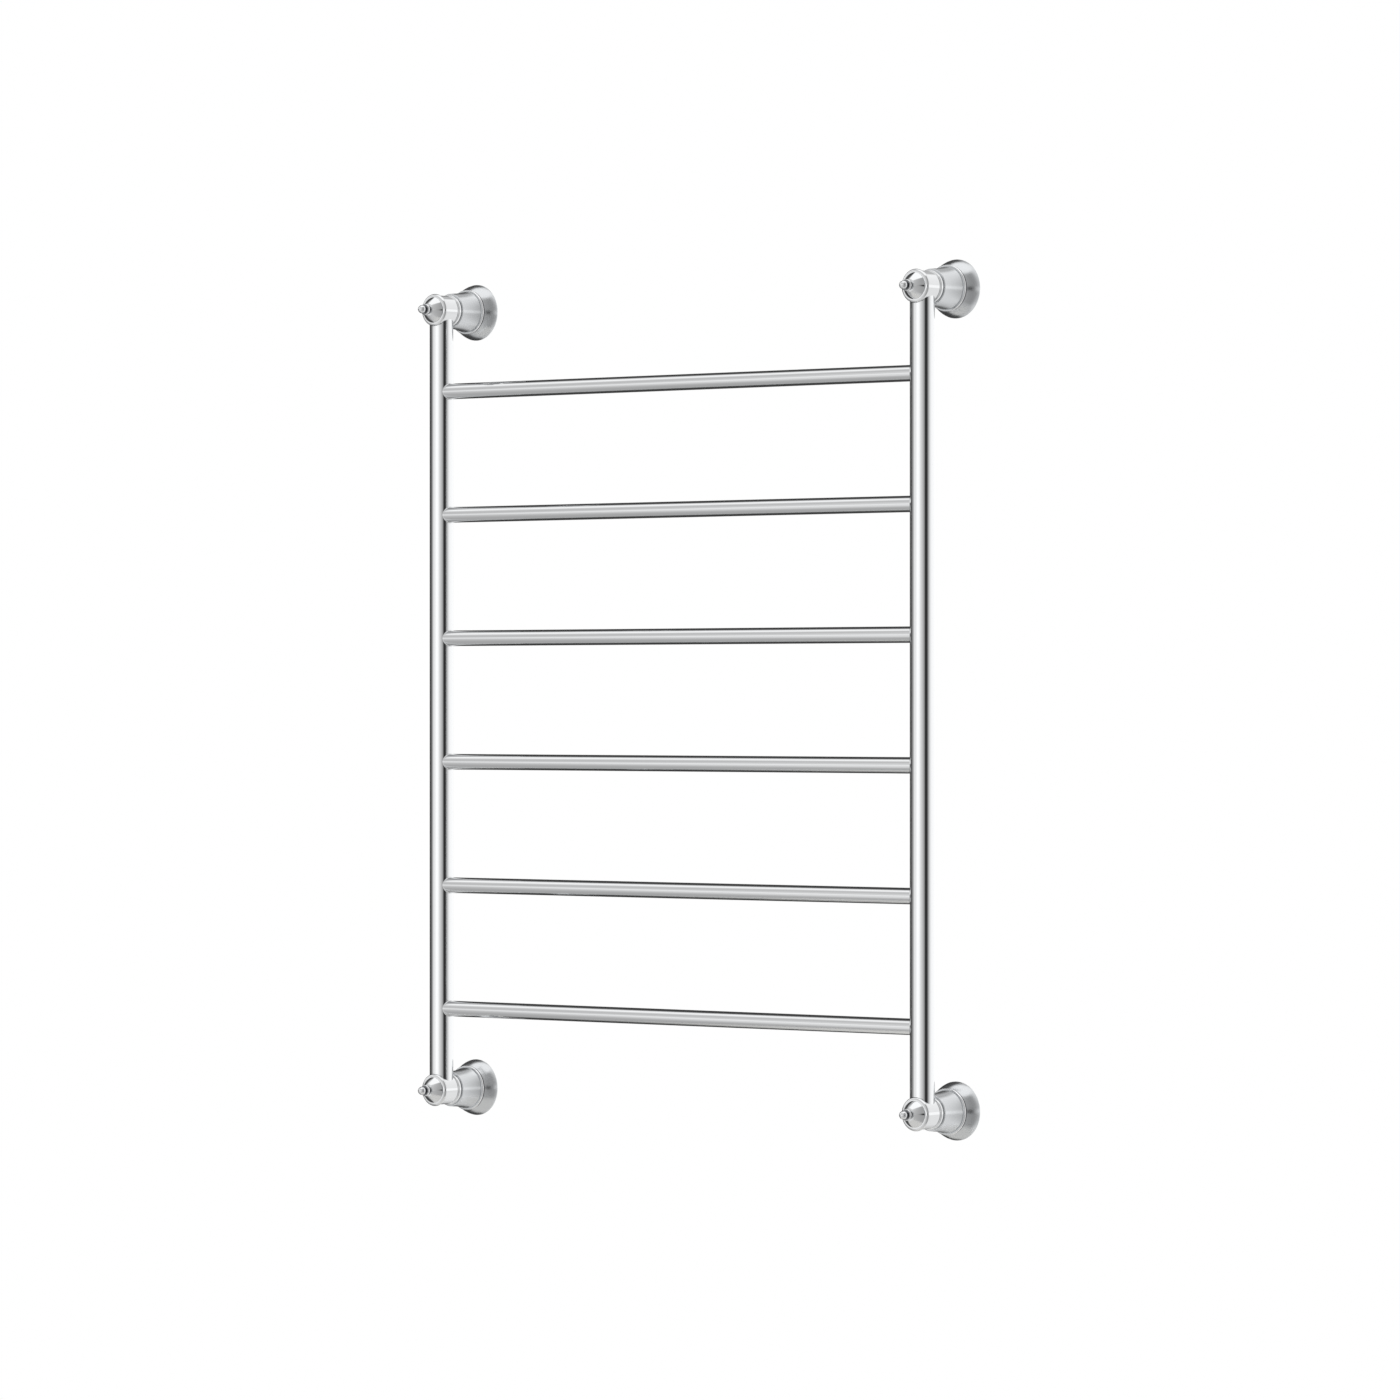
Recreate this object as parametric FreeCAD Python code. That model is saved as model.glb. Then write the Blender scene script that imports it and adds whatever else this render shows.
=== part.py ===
"""Wall-hung heated towel rack: two round posts, six round rails, four turned wall brackets.

Row frame: X runs along the rails, +Y points into the wall, +Z is up.
The origin is the centre of the eight wall screws, on the wall plane (y = 0).
Everything is in millimetres. Along a bracket, "s" is the distance from the post axis
towards the wall, so the wall plane is at s = post_to_wall.
"""
import FreeCAD, Part
import math
import os

Vec = FreeCAD.Vector

# ---- driving dimensions ------------------------------------------------------------
rail_count = 6
rail_pitch = 150.0
rail_d = 19.0
rail_wall = 1.2
post_spacing = 740.0          # post axis to post axis
post_d = 28.6
post_wall = 1.5
arm_beyond_rail = 99.0        # outermost rail to the arm axis above or below it
post_to_wall = 65.0           # post axis to wall plane
rail_end_margin = 0.6         # rail end past its saddle-shaped hole, inside the post

# ---- clearances --------------------------------------------------------------------
braze_gap = 0.05              # tube in its hole, coped end on its tee
seat_gap = 0.05               # faces that are drawn together by a screw
slip_gap = 0.1                # spigot in tube, shoulder to shoulder
rest_gap = 0.3                # loose inner pieces on what carries them
cable_rest_gap = 0.4          # heating cable above the bottom of a rail's bore

# ---- tee -----------------------------------------------------------------------------
tee_end_margin = 1.0          # tee length beyond the post's diameter, each end
tee_barrel_step = 3.7         # barrel radius beyond the post's radius
tee_ring_step = 1.5           # end ring radius beyond the barrel's radius
tee_ring_width = 4.6
tee_ring_round = 1.1
tee_spigot_reach = 32.0       # spigot end from the arm axis
tee_bore_r = 7.0              # wire way
arm_seat_depth = 8.0

# ---- finial --------------------------------------------------------------------------
finial_base_r = 15.8
finial_base_round = 0.4
finial_cone_end = 8.4         # from the finial's back face to the bead
finial_cone_tip_r = 8.0
finial_bead_r = 8.2
finial_bead_width = 3.4
finial_bead_round = 1.6
finial_neck_r = 4.7
finial_neck_width = 1.8
finial_ball_r = 5.8
finial_ball_centre = 19.0     # from the finial's back face
stud_r = 3.0
stud_in_tee = 7.8
stud_in_finial = 8.0

# ---- arm, flange cover and wall plate ---------------------------------------------------
arm_r = 10.0
arm_wall = 2.0
thread_gap = 0.05             # arm in the tee's thread and in the plate's boss
cover_wall = 2.0
cover_neck_wall = 4.5
cover_front_step = 1.5        # front radius beyond the tee's end ring
cover_front_round = 0.7
cover_ridge_r = 25.2
cover_ridge_from_wall = 19.5
cover_ridge_bead = 1.0
cover_rim_r = 34.0
cover_rim_width = 5.8
cover_rim_round = 0.9
cover_inner_round = 1.0
cover_flare_sag = 0.8         # hollow of the flare below a straight cone
cover_slip = 0.25             # cover's hole on the arm
plate_thickness = 5.0
plate_fit = 0.3               # plate inside the cover's rim
boss_r = 15.0
boss_length = 20.0
wire_hole_r = 7.0
screw_offset = 22.0           # wall screw from the arm axis
screw_hole_r = 2.75
screw_sink_r = 5.2
screw_sink_depth = 2.6
o_ring_section_r = 0.9
o_ring_fit = 0.05
grub_r = 2.5
grub_head_proud = 0.6
grub_from_boss_mouth = 6.0

# ---- electrical pieces ----------------------------------------------------------------------
cable_r = 2.25
cable_run_in = 1.0            # straight cable inside a rail before its bend starts
sleeve_r = 4.5                # cold joint and end seal
sleeve_socket = 8.0
cold_joint_length = 28.0
cold_joint_clear = 4.3        # cold joint above the inlet tee's spigot
end_seal_length = 22.0
cable_lead = 12.0             # straight cable between the last bend and the end seal
cutout_r = 4.2
cutout_length = 24.0
grommet_flange = 1.5
grommet_bore_r = 4.0
earth_from_arm = 22.0
earth_screw_r = 2.0
earth_head_r = 3.8
earth_head_height = 2.6
earth_tag_r = 4.4
earth_tag_thickness = 0.8
earth_tail_length = 7.0
earth_thread_depth = 4.0

# ---- worked-out sizes ---------------------------------------------------------------------------
post_r = post_d / 2
post_bore_r = post_r - post_wall
rail_r = rail_d / 2
rail_bore_r = rail_r - rail_wall
post_x = post_spacing / 2
post_y = -post_to_wall
rail_heights = [rail_pitch * ((rail_count - 1) / 2 - i) for i in range(rail_count)]
arm_z = rail_heights[0] + arm_beyond_rail

tee_half = post_r + tee_end_margin
barrel_r = post_r + tee_barrel_step
ring_r = barrel_r + tee_ring_step
tee_cavity_r = arm_r - arm_wall
arm_seat_s = tee_half - arm_seat_depth

# a rail ends inside the post's bore, just past the deepest point of its saddle-shaped hole
rail_end_from_axis = math.sqrt(post_bore_r ** 2 - rail_r ** 2) - rail_end_margin

cable_offset = post_bore_r - sleeve_r - rest_gap
cable_bend_r = cable_offset + rail_end_from_axis + cable_run_in
cable_drop = rail_bore_r - cable_r - cable_rest_gap

plate_s = post_to_wall - plate_thickness
boss_mouth_s = plate_s - boss_length
rim_front_s = post_to_wall - cover_rim_width
cover_front_s = tee_half + rest_gap
cover_front_r = ring_r + cover_front_step
ridge_s = post_to_wall - cover_ridge_from_wall

X = Vec(1, 0, 0)
Y = Vec(0, 1, 0)
Z = Vec(0, 0, 1)
ORIGIN = Vec(0, 0, 0)


# ---- helpers ------------------------------------------------------------------------------------
def cylinder(radius, start, end):
    """Solid cylinder from point to point."""
    along = end - start
    return Part.makeCylinder(radius, along.Length, start, along)


def tube(outer_r, inner_r, start, end):
    return cylinder(outer_r, start, end).cut(cylinder(inner_r, start, end))


def corner(before, here, after, radius):
    """Start, middle and end of the arc that rounds a corner of an outline."""
    back = (before - here).normalize()
    ahead = (after - here).normalize()
    half = back.getAngle(ahead) / 2
    reach = radius / math.tan(half)
    centre = here + (back + ahead).normalize() * (radius / math.sin(half))
    middle = centre + (here - centre).normalize() * radius
    return here + back * reach, middle, here + ahead * reach


def turned(outline):
    """Solid of revolution about Y from (s, radius, rounding) points; a 4th and 5th
    value are the (s, radius) that an arc from the point before passes through."""
    points = [Vec(0, p[0], p[1]) for p in outline]
    count = len(points)
    starts = []
    ends = []
    edges = []
    for i, p in enumerate(outline):
        here = points[i]
        if p[2] > 0:
            start, middle, end = corner(points[i - 1], here, points[(i + 1) % count], p[2])
            edges.append(Part.Arc(start, middle, end).toShape())
        else:
            start = end = here
        starts.append(start)
        ends.append(end)
    for i, p in enumerate(outline):
        start = ends[i - 1]
        end = starts[i]
        if len(p) > 3:
            edges.append(Part.Arc(start, Vec(0, p[3], p[4]), end).toShape())
        elif start.distanceToPoint(end) > 1e-6:
            edges.append(Part.LineSegment(start, end).toShape())
    face = Part.Face(Part.Wire(Part.__sortEdges__(edges)))
    return face.revolve(ORIGIN, Y, 360)


def place(shape, x, z):
    """Moves a bracket piece from its own axis to the arm at (x, z)."""
    moved = shape.copy()
    moved.translate(Vec(x, post_y, z))
    return moved


def export(name, shape):
    solids = shape.Solids
    kept = solids[0] if len(solids) == 1 else Part.makeCompound(solids)
    kept.exportStep("parts/" + name + ".step")
    print(name, len(solids), round(sum(s.Volume for s in solids), 1), all(s.isValid() for s in solids))


# ---- tubes --------------------------------------------------------------------------------------
def spool_outline(grow):
    """Outside of a tee: a barrel between two end rings, grown all round by a gap."""
    outer = ring_r + grow
    waist = barrel_r + grow
    half = tee_half + grow
    inner = tee_half - tee_ring_width - grow
    rounding = tee_ring_round
    return [(-half, 0, 0), (-half, outer, rounding), (-inner, outer, rounding), (-inner, waist, 0),
            (inner, waist, 0), (inner, outer, rounding), (half, outer, rounding), (half, 0, 0)]


def post(side):
    """A post's tube, coped to its two tees and bored for the rails on its inner side."""
    x = side * post_x
    shape = tube(post_r, post_bore_r, Vec(x, post_y, -arm_z), Vec(x, post_y, arm_z))
    cope = turned(spool_outline(braze_gap))
    for z in (-arm_z, arm_z):
        shape = shape.cut(place(cope, x, z))
    for z in rail_heights:
        axis = Vec(x, post_y, z)
        shape = shape.cut(cylinder(rail_r + braze_gap, axis, axis - X * (side * post_d)))
    return shape


def rail(z):
    reach = post_x - rail_end_from_axis
    return tube(rail_r, rail_bore_r, Vec(-reach, post_y, z), Vec(reach, post_y, z))


# ---- bracket pieces, on their own axis ----------------------------------------------------------------
def tee(towards_post):
    """Spool-shaped tee; its hollow spigot points up or down into the post."""
    spigot_end = Z * (towards_post * tee_spigot_reach)
    shape = turned(spool_outline(0))
    shape = shape.fuse(cylinder(post_bore_r - slip_gap, ORIGIN, spigot_end))
    cavity_front = -tee_bore_r
    shape = shape.cut(cylinder(tee_cavity_r, Y * cavity_front, Y * tee_half))
    shape = shape.cut(cylinder(arm_r + thread_gap, Y * arm_seat_s, Y * tee_half))
    shape = shape.cut(cylinder(tee_bore_r, ORIGIN, spigot_end))
    shape = shape.cut(cylinder(stud_r + thread_gap, Y * -tee_half, Y * cavity_front))
    return shape.removeSplitter()


def finial():
    """Turned front cap: cone, bead, neck and ball tip."""
    back = -tee_half - seat_gap
    cone_end = back - finial_cone_end
    bead_end = cone_end - finial_bead_width
    neck_end = bead_end - finial_neck_width
    ball = back - finial_ball_centre
    ball_join = ball + math.sqrt(finial_ball_r ** 2 - finial_neck_r ** 2)
    slant = finial_ball_r * math.sin(math.radians(45))
    shape = turned([
        (back, 0, 0), (back, finial_base_r, finial_base_round), (cone_end, finial_cone_tip_r, 0),
        (cone_end, finial_bead_r, 0), (bead_end, finial_bead_r, finial_bead_round),
        (bead_end, finial_neck_r, 0), (min(neck_end, ball_join), finial_neck_r, 0),
        (ball - finial_ball_r, 0, 0, ball - slant, slant)])
    hole_end = back - stud_in_finial - rest_gap
    return shape.cut(cylinder(stud_r + thread_gap, Y * back, Y * hole_end))


def finial_stud():
    return cylinder(stud_r, Y * (-tee_half + stud_in_tee), Y * (-tee_half - stud_in_finial))


def arm():
    return tube(arm_r, arm_r - arm_wall, Y * (arm_seat_s + slip_gap), Y * (plate_s - slip_gap))


def flange_cover():
    """Thin flared cover from the tee to the wall, with a beaded ridge and a flat rim."""
    flare_mid_s = (cover_front_s + ridge_s) / 2
    flare_mid_r = (cover_front_r + cover_ridge_r) / 2 - cover_flare_sag
    bead = cover_ridge_bead
    edge = cover_front_round
    edge_bulge = edge * (1 - math.sin(math.radians(45)))
    shape = turned([
        (post_to_wall, 0, 0), (cover_front_s, 0, 0), (cover_front_s, cover_front_r - edge, 0),
        (cover_front_s + edge, cover_front_r, 0, cover_front_s + edge_bulge, cover_front_r - edge_bulge),
        (ridge_s, cover_ridge_r, 0, flare_mid_s, flare_mid_r),
        (ridge_s + 2 * bead, cover_ridge_r + bead, 0, ridge_s + bead, cover_ridge_r + 1.5 * bead),
        (rim_front_s, cover_rim_r, cover_rim_round), (post_to_wall, cover_rim_r, 0)])
    neck_s = cover_front_s + cover_neck_wall
    inner_rim_r = cover_rim_r - cover_wall
    shape = shape.cut(turned([
        (neck_s, 0, 0), (neck_s, cover_front_r - cover_wall, cover_inner_round),
        (ridge_s, cover_ridge_r - cover_wall, 0), (rim_front_s, inner_rim_r, 0),
        (post_to_wall, inner_rim_r, 0), (post_to_wall, 0, 0)]))
    shape = shape.cut(cylinder(arm_r + cover_slip, Y * cover_front_s, Y * neck_s))
    groove_mid = (cover_front_s + neck_s) / 2
    half = o_ring_section_r + o_ring_fit
    return shape.cut(cylinder(arm_r + 2 * half, Y * (groove_mid - half), Y * (groove_mid + half)))


def o_ring():
    groove_mid = cover_front_s + cover_neck_wall / 2
    return Part.makeTorus(arm_r + o_ring_fit + o_ring_section_r, o_ring_section_r, Y * groove_mid, Y)


def wall_plate(earthed):
    """Round plate with a boss that holds the arm, a wire hole and two screw holes."""
    shape = cylinder(cover_rim_r - cover_wall - plate_fit, Y * plate_s, Y * post_to_wall)
    shape = shape.fuse(cylinder(boss_r, Y * boss_mouth_s, Y * plate_s))
    shape = shape.cut(cylinder(arm_r + thread_gap, Y * boss_mouth_s, Y * plate_s))
    shape = shape.cut(cylinder(wire_hole_r, Y * plate_s, Y * post_to_wall))
    for up in (-screw_offset, screw_offset):
        front = Y * plate_s + Z * up
        shape = shape.cut(cylinder(screw_hole_r, front, front + Y * plate_thickness))
        shape = shape.cut(Part.makeCone(screw_sink_r, screw_hole_r, screw_sink_depth, front, Y))
    grub = Y * (boss_mouth_s + grub_from_boss_mouth)
    shape = shape.cut(cylinder(grub_r + thread_gap, grub - Z * arm_r, grub - Z * (boss_r + 1)))
    if earthed:
        front = Y * plate_s - X * earth_from_arm
        shape = shape.cut(cylinder(earth_screw_r + thread_gap, front, front + Y * earth_thread_depth))
    return shape.removeSplitter()


def grub_screw():
    """Cup-point screw in the boss, clamping the arm, with a hexagon socket."""
    mid = Y * (boss_mouth_s + grub_from_boss_mouth)
    tip = mid - Z * (arm_r + seat_gap)
    head = mid - Z * (boss_r + grub_head_proud)
    socket_r = grub_r / 2
    corners = [head + Vec(math.cos(a), math.sin(a), 0) * socket_r
               for a in (math.radians(60 * k) for k in range(7))]
    socket = Part.Face(Part.makePolygon(corners)).extrude(Z * grub_r)
    return cylinder(grub_r, tip, head).cut(socket)


# ---- electrical pieces, in the row frame -----------------------------------------------------------------
def heating_cable():
    """One cable laid through the rails in turn, from the lowest to the highest."""
    reach = post_x + cable_offset
    bend = cable_bend_r
    quarter = bend * (1 - math.cos(math.radians(45)))
    levels = [z - cable_drop for z in reversed(rail_heights)]
    cold_joint_bottom = tee_spigot_reach + cold_joint_clear - arm_z
    side = 1
    at = Vec(side * reach, post_y, cold_joint_bottom + cold_joint_length - sleeve_socket + seat_gap)
    first = at
    edges = []
    for level in levels:
        corner_in = Vec(side * reach, post_y, level)
        below = corner_in - Z * bend
        inside = corner_in - X * (side * bend)
        edges.append(Part.LineSegment(at, below).toShape())
        middle = corner_in - X * (side * quarter) - Z * quarter
        edges.append(Part.Arc(below, middle, inside).toShape())
        side = -side
        corner_out = Vec(side * reach, post_y, level)
        outside = corner_out - X * (side * bend)
        above = corner_out + Z * bend
        edges.append(Part.LineSegment(inside, outside).toShape())
        middle = corner_out - X * (side * quarter) + Z * quarter
        edges.append(Part.Arc(outside, middle, above).toShape())
        at = above
    last = at + Z * (cable_lead + sleeve_socket)
    edges.append(Part.LineSegment(at, last).toShape())
    path = Part.Wire(edges)
    section = Part.Wire(Part.makeCircle(cable_r, first, Z))
    shape = path.makePipeShell([section], True, False)
    section_area = math.pi * cable_r ** 2
    print("cable bend radius", round(bend, 2), "length", round(path.Length, 1),
          "volume over section times length", round(shape.Volume / (section_area * path.Length), 5))
    return shape, first, last


def sleeve(cable_end, away, length):
    """Moulded sleeve over a cable end; away points from the cable into the sleeve."""
    bottom = cable_end + away * seat_gap
    mouth = bottom - away * sleeve_socket
    far = mouth + away * length
    shape = cylinder(sleeve_r, mouth, far)
    shape = shape.cut(cylinder(cable_r + seat_gap, mouth, bottom))
    return shape, far


def thermal_cutout(joint_end):
    """Sealed bimetal cut-out, standing in the inlet tee's spigot under the cold joint."""
    offset = tee_bore_r - cutout_r - rest_gap
    top = Vec(post_x + offset, post_y, joint_end.z - rest_gap)
    return cylinder(cutout_r, top, top - Z * cutout_length)


def wire_grommet():
    """Flanged rubber grommet in the inlet plate's wire hole, on the bracket's own axis."""
    front = Y * (plate_s - grommet_flange)
    flange_r = arm_r - arm_wall - slip_gap
    shape = cylinder(flange_r, front, Y * plate_s)
    shape = shape.fuse(cylinder(wire_hole_r - slip_gap, Y * plate_s, Y * post_to_wall))
    shape = shape.cut(cylinder(grommet_bore_r, front, Y * post_to_wall))
    return shape.removeSplitter()


def earth_tag():
    """Ring tag with a short crimp tail, on the inlet plate's front face."""
    centre = Y * (plate_s - seat_gap) - X * earth_from_arm
    front = centre - Y * earth_tag_thickness
    shape = cylinder(earth_tag_r, front, centre)
    tail = Part.makeBox(earth_tag_r, earth_tag_thickness, earth_tag_r + earth_tail_length,
                        front - X * (earth_tag_r / 2) - Z * (earth_tag_r + earth_tail_length))
    shape = shape.fuse(tail)
    return shape.cut(cylinder(earth_screw_r + slip_gap, front, centre)).removeSplitter()


def earth_screw():
    """Pan-head screw with a cross slot."""
    seat = Y * (plate_s - 2 * seat_gap - earth_tag_thickness) - X * earth_from_arm
    head = seat - Y * earth_head_height
    end = Y * (plate_s + earth_thread_depth - seat_gap) - X * earth_from_arm
    shape = cylinder(earth_head_r, head, seat).fuse(cylinder(earth_screw_r, seat, end))
    slot_width = earth_screw_r / 2
    slot_depth = earth_head_height / 2
    span = 2 * earth_screw_r
    for wide, tall in ((span, slot_width), (slot_width, span)):
        start = head - X * (wide / 2) - Z * (tall / 2)
        shape = shape.cut(Part.makeBox(wide, slot_depth, tall, start))
    return shape.removeSplitter()


# ---- the rack ------------------------------------------------------------------------------------
os.makedirs("parts", exist_ok=True)

corners = [("top_left", -1, 1), ("top_right", 1, 1), ("bottom_left", -1, -1), ("bottom_right", 1, -1)]
inlet_corner = "bottom_right"

export("post_left", post(-1))
export("post_right", post(1))
for i, z in enumerate(rail_heights):
    export("rail_" + str(i + 1), rail(z))

studs = []
o_rings = []
grub_screws = []
for name, side, level in corners:
    x = side * post_x
    z = level * arm_z
    export("tee_" + name, place(tee(-level), x, z))
    export("finial_" + name, place(finial(), x, z))
    export("arm_" + name, place(arm(), x, z))
    export("flange_" + name, place(flange_cover(), x, z))
    export("wall_plate_" + name, place(wall_plate(name == inlet_corner), x, z))
    studs.append(place(finial_stud(), x, z))
    o_rings.append(place(o_ring(), x, z))
    grub_screws.append(place(grub_screw(), x, z))
    if name == inlet_corner:
        export("wire_grommet", place(wire_grommet(), x, z))
        export("earth_tag", place(earth_tag(), x, z))
        export("earth_screw", place(earth_screw(), x, z))
export("finial_studs", Part.makeCompound(studs))
export("flange_o_rings", Part.makeCompound(o_rings))
export("arm_grub_screws", Part.makeCompound(grub_screws))

cable, cable_start, cable_end = heating_cable()
cold_joint, cold_joint_end = sleeve(cable_start, -Z, cold_joint_length)
end_seal = sleeve(cable_end, Z, end_seal_length)[0]
export("heating_cable", cable)
export("cold_joint", cold_joint)
export("cable_end_seal", end_seal)
export("thermal_cutout", thermal_cutout(cold_joint_end))
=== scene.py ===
"""Looks of a wall-hung heated towel rack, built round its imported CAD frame.

Row frame, in metres: X runs along the rails, +Y points into the wall, +Z is up, and the
wall is the plane y = 0. Sections are drawn in millimetres: "s" runs from the post axis
towards the wall, so the wall is at s = 65. Every turned or drawn piece is made about its
own Z axis, with its origin on that axis, and is then stood where the frame says.
"""
import math

import bpy
from bpy.props import FloatProperty, FloatVectorProperty, PointerProperty
from mathutils import Matrix, Vector


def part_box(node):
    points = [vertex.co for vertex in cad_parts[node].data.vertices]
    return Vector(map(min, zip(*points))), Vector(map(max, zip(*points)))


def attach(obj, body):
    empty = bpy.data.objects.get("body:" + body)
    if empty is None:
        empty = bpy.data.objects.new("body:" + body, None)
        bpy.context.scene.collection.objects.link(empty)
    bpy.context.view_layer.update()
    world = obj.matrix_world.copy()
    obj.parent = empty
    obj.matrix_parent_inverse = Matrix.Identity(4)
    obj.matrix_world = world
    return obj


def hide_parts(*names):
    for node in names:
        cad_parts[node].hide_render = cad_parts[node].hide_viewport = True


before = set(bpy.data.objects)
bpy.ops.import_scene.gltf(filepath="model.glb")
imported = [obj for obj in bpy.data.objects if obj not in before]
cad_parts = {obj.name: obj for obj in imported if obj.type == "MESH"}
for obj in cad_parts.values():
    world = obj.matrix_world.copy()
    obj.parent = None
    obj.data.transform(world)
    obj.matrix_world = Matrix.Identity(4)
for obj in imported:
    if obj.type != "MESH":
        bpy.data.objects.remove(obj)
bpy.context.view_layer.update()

bl_info = {
    "name": "Heated Towel Rack",
    "version": (1, 0, 0),
    "blender": (4, 5, 0),
    "location": "View3D > Sidebar > Towel Rack",
    "description": "Builds the looks of a wall-hung heated towel rack on its CAD frame",
    "category": "Object",
}

MM = 0.001
CORNERS = ("top_left", "top_right", "bottom_left", "bottom_right")
WELD_DECIMALS = 5               # of a millimetre, to which points that coincide agree
SHORTEST_EDGE = 1e-6            # mm
AXIS_DECIMALS = 4               # of a metre, to which the arms' axes are placed
ARC_STEP = math.radians(7)      # turn of the surface from one row of a rounded edge to the next
TUBE_SIDES = 144
TURNED_SIDES = 192
HOLE_STEPS = 48                 # steps across a rail's hole in a post
FILLET_ROWS = 7
FLOOR_SIDES = 96
INTO_WALL = Matrix.Rotation(math.radians(-90), 4, "X")      # own Z to the row's +Y
ALONG_RAILS = Matrix.Rotation(math.radians(90), 4, "Y")     # own Z to the row's +X


def linear(hex_colour):
    """sRGB hex to the linear colour that a shader takes."""
    values = [int(hex_colour[i:i + 2], 16) / 255 for i in (1, 3, 5)]
    return [v / 12.92 if v <= 0.04045 else ((v + 0.055) / 1.055) ** 2.4 for v in values] + [1.0]


def middle(node):
    low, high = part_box(node)
    return (low + high) / 2


# ---- sizes and colours that can be changed ---------------------------------------------------
class TubeSizes(bpy.types.PropertyGroup):
    post_diameter: FloatProperty(
        name="Post diameter", description="Outside diameter of the two posts",
        default=0.0286, min=0.01, unit="LENGTH")
    post_wall: FloatProperty(
        name="Post wall", description="Wall thickness of the posts",
        default=0.0015, min=0.0005, unit="LENGTH")
    rail_diameter: FloatProperty(
        name="Rail diameter", description="Outside diameter of the rails",
        default=0.019, min=0.005, unit="LENGTH")
    rail_wall: FloatProperty(
        name="Rail wall", description="Wall thickness of the rails",
        default=0.0012, min=0.0005, unit="LENGTH")
    braze_gap: FloatProperty(
        name="Braze gap", description="Gap all round a rail in its hole",
        default=0.00005, min=0.0, unit="LENGTH")
    fillet_radius: FloatProperty(
        name="Fillet radius", description="Polished fillet of braze where a rail meets a post",
        default=0.0009, min=0.0002, unit="LENGTH")


class ChromeFinish(bpy.types.PropertyGroup):
    colour: FloatVectorProperty(
        name="Chrome", description="Colour of the polished chrome plate",
        default=linear("#E7E8E9"), size=4, min=0.0, max=1.0, subtype="COLOR")
    roughness: FloatProperty(
        name="Roughness", description="Roughness of the best polished chrome",
        default=0.035, min=0.0, max=1.0, subtype="FACTOR")
    satin: FloatProperty(
        name="Satin roughness", description="Roughness of the spun covers under the chrome",
        default=0.22, min=0.0, max=1.0, subtype="FACTOR")
    satin_colour: FloatVectorProperty(
        name="Satin chrome", description="Colour of the chrome plate over the satin covers",
        default=linear("#D6D8DA"), size=4, min=0.0, max=1.0, subtype="COLOR")
    # Painted shade: a dark colour put in the caps' grooves and the covers' crease, in place of the
    # shade there
    painted_shade_colour: FloatVectorProperty(
        name="Grooves", description="Colour of the thin, unbuffed plate in grooves and creases",
        default=linear("#55565A"), size=4, min=0.0, max=1.0, subtype="COLOR")
    # Painted highlight: a near-white colour put on the covers' ridges, in place of a highlight
    # there
    painted_highlight_colour: FloatVectorProperty(
        name="Ridges", description="Colour of the covers' beaded ridges, rubbed bright",
        default=linear("#FBFBFC"), size=4, min=0.0, max=1.0, subtype="COLOR")
    ripple: FloatProperty(
        name="Ripple", description="Depth of the waves left in the metal by polishing",
        default=0.000012, min=0.0, unit="LENGTH")


class StageSettings(bpy.types.PropertyGroup):
    floor_height: FloatProperty(
        name="Floor height", description="Height of the floor in the row frame",
        default=-1.62, unit="LENGTH")
    floor_radius: FloatProperty(
        name="Floor radius", description="Where the floor has faded into the backdrop",
        default=1.4, min=1.0, unit="LENGTH")
    floor_colour: FloatVectorProperty(
        name="Floor", description="Colour of the pale floor",
        default=linear("#F4F3F0"), size=4, min=0.0, max=1.0, subtype="COLOR")
    azimuth: FloatProperty(
        name="View azimuth",
        description="Where the camera stands, from straight in front towards +X",
        default=math.radians(39.7), unit="ROTATION")
    distance: FloatProperty(
        name="View distance", description="Camera to the middle of the rack",
        default=7.838, min=1.0, unit="LENGTH")
    aside: FloatProperty(
        name="View aside",
        description="How far the camera stands to its own right of the rack's middle",
        default=0.030, unit="LENGTH")
    focal_length: FloatProperty(
        name="Focal length", description="Focal length of the lens in mm, on a 36 mm sensor",
        default=170.6, min=20.0)


# ---- meshes --------------------------------------------------------------------------------------
class Skin:
    """Faces in millimetres with a normal at each corner; points that coincide are shared."""

    def __init__(self):
        self.points = []
        self.index = {}
        self.faces = []
        self.normals = []

    def point(self, p):
        key = tuple(round(value, WELD_DECIMALS) for value in p)
        if key not in self.index:
            self.index[key] = len(self.points)
            self.points.append((p[0] * MM, p[1] * MM, p[2] * MM))
        return self.index[key]

    def face(self, corners, normals):
        """One face; corners that coincide are dropped, and a face with no area isn't added."""
        ring = []
        kept = []
        for p, n in zip(corners, normals):
            i = self.point(p)
            if i not in ring:
                ring.append(i)
                kept.append(n)
        if len(ring) > 2:
            self.faces.append(ring)
            self.normals += [tuple(n) for n in kept]

    def grid(self, rows, row_normals, closed=False):
        """Faces between rows of points, each with its own row of normals."""
        for a, b, na, nb in zip(rows, rows[1:], row_normals, row_normals[1:]):
            count = len(a)
            for j in range(count if closed else count - 1):
                k = (j + 1) % count
                self.face((a[j], b[j], b[k], a[k]), (na[j], nb[j], nb[k], na[k]))

    def object(self, name, place, material, slot, replaced=()):
        """Makes the piece, stood at place (a matrix), riding on the one body of the rack."""
        mesh = bpy.data.meshes.new(name)
        mesh.from_pydata(self.points, [], self.faces)
        if mesh.validate():
            raise RuntimeError(name + ": the mesh had faults")
        mesh.polygons.foreach_set("use_smooth", [True] * len(mesh.polygons))
        mesh.normals_split_custom_set(self.normals)
        mesh.materials.append(material)
        piece = bpy.data.objects.new(name, mesh)
        bpy.context.scene.collection.objects.link(piece)
        piece.matrix_world = place
        if replaced:
            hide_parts(*replaced)
        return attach(piece, "root")


def rounded_corner(before, here, after, radius):
    """(centre, start, end) of the arc that rounds a corner of a section."""
    back = (before - here).normalized()
    ahead = (after - here).normalized()
    half = back.angle(ahead) / 2
    centre = here + (back + ahead).normalized() * (radius / math.sin(half))
    reach = radius / math.tan(half)
    return centre, here + back * reach, here + ahead * reach


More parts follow.
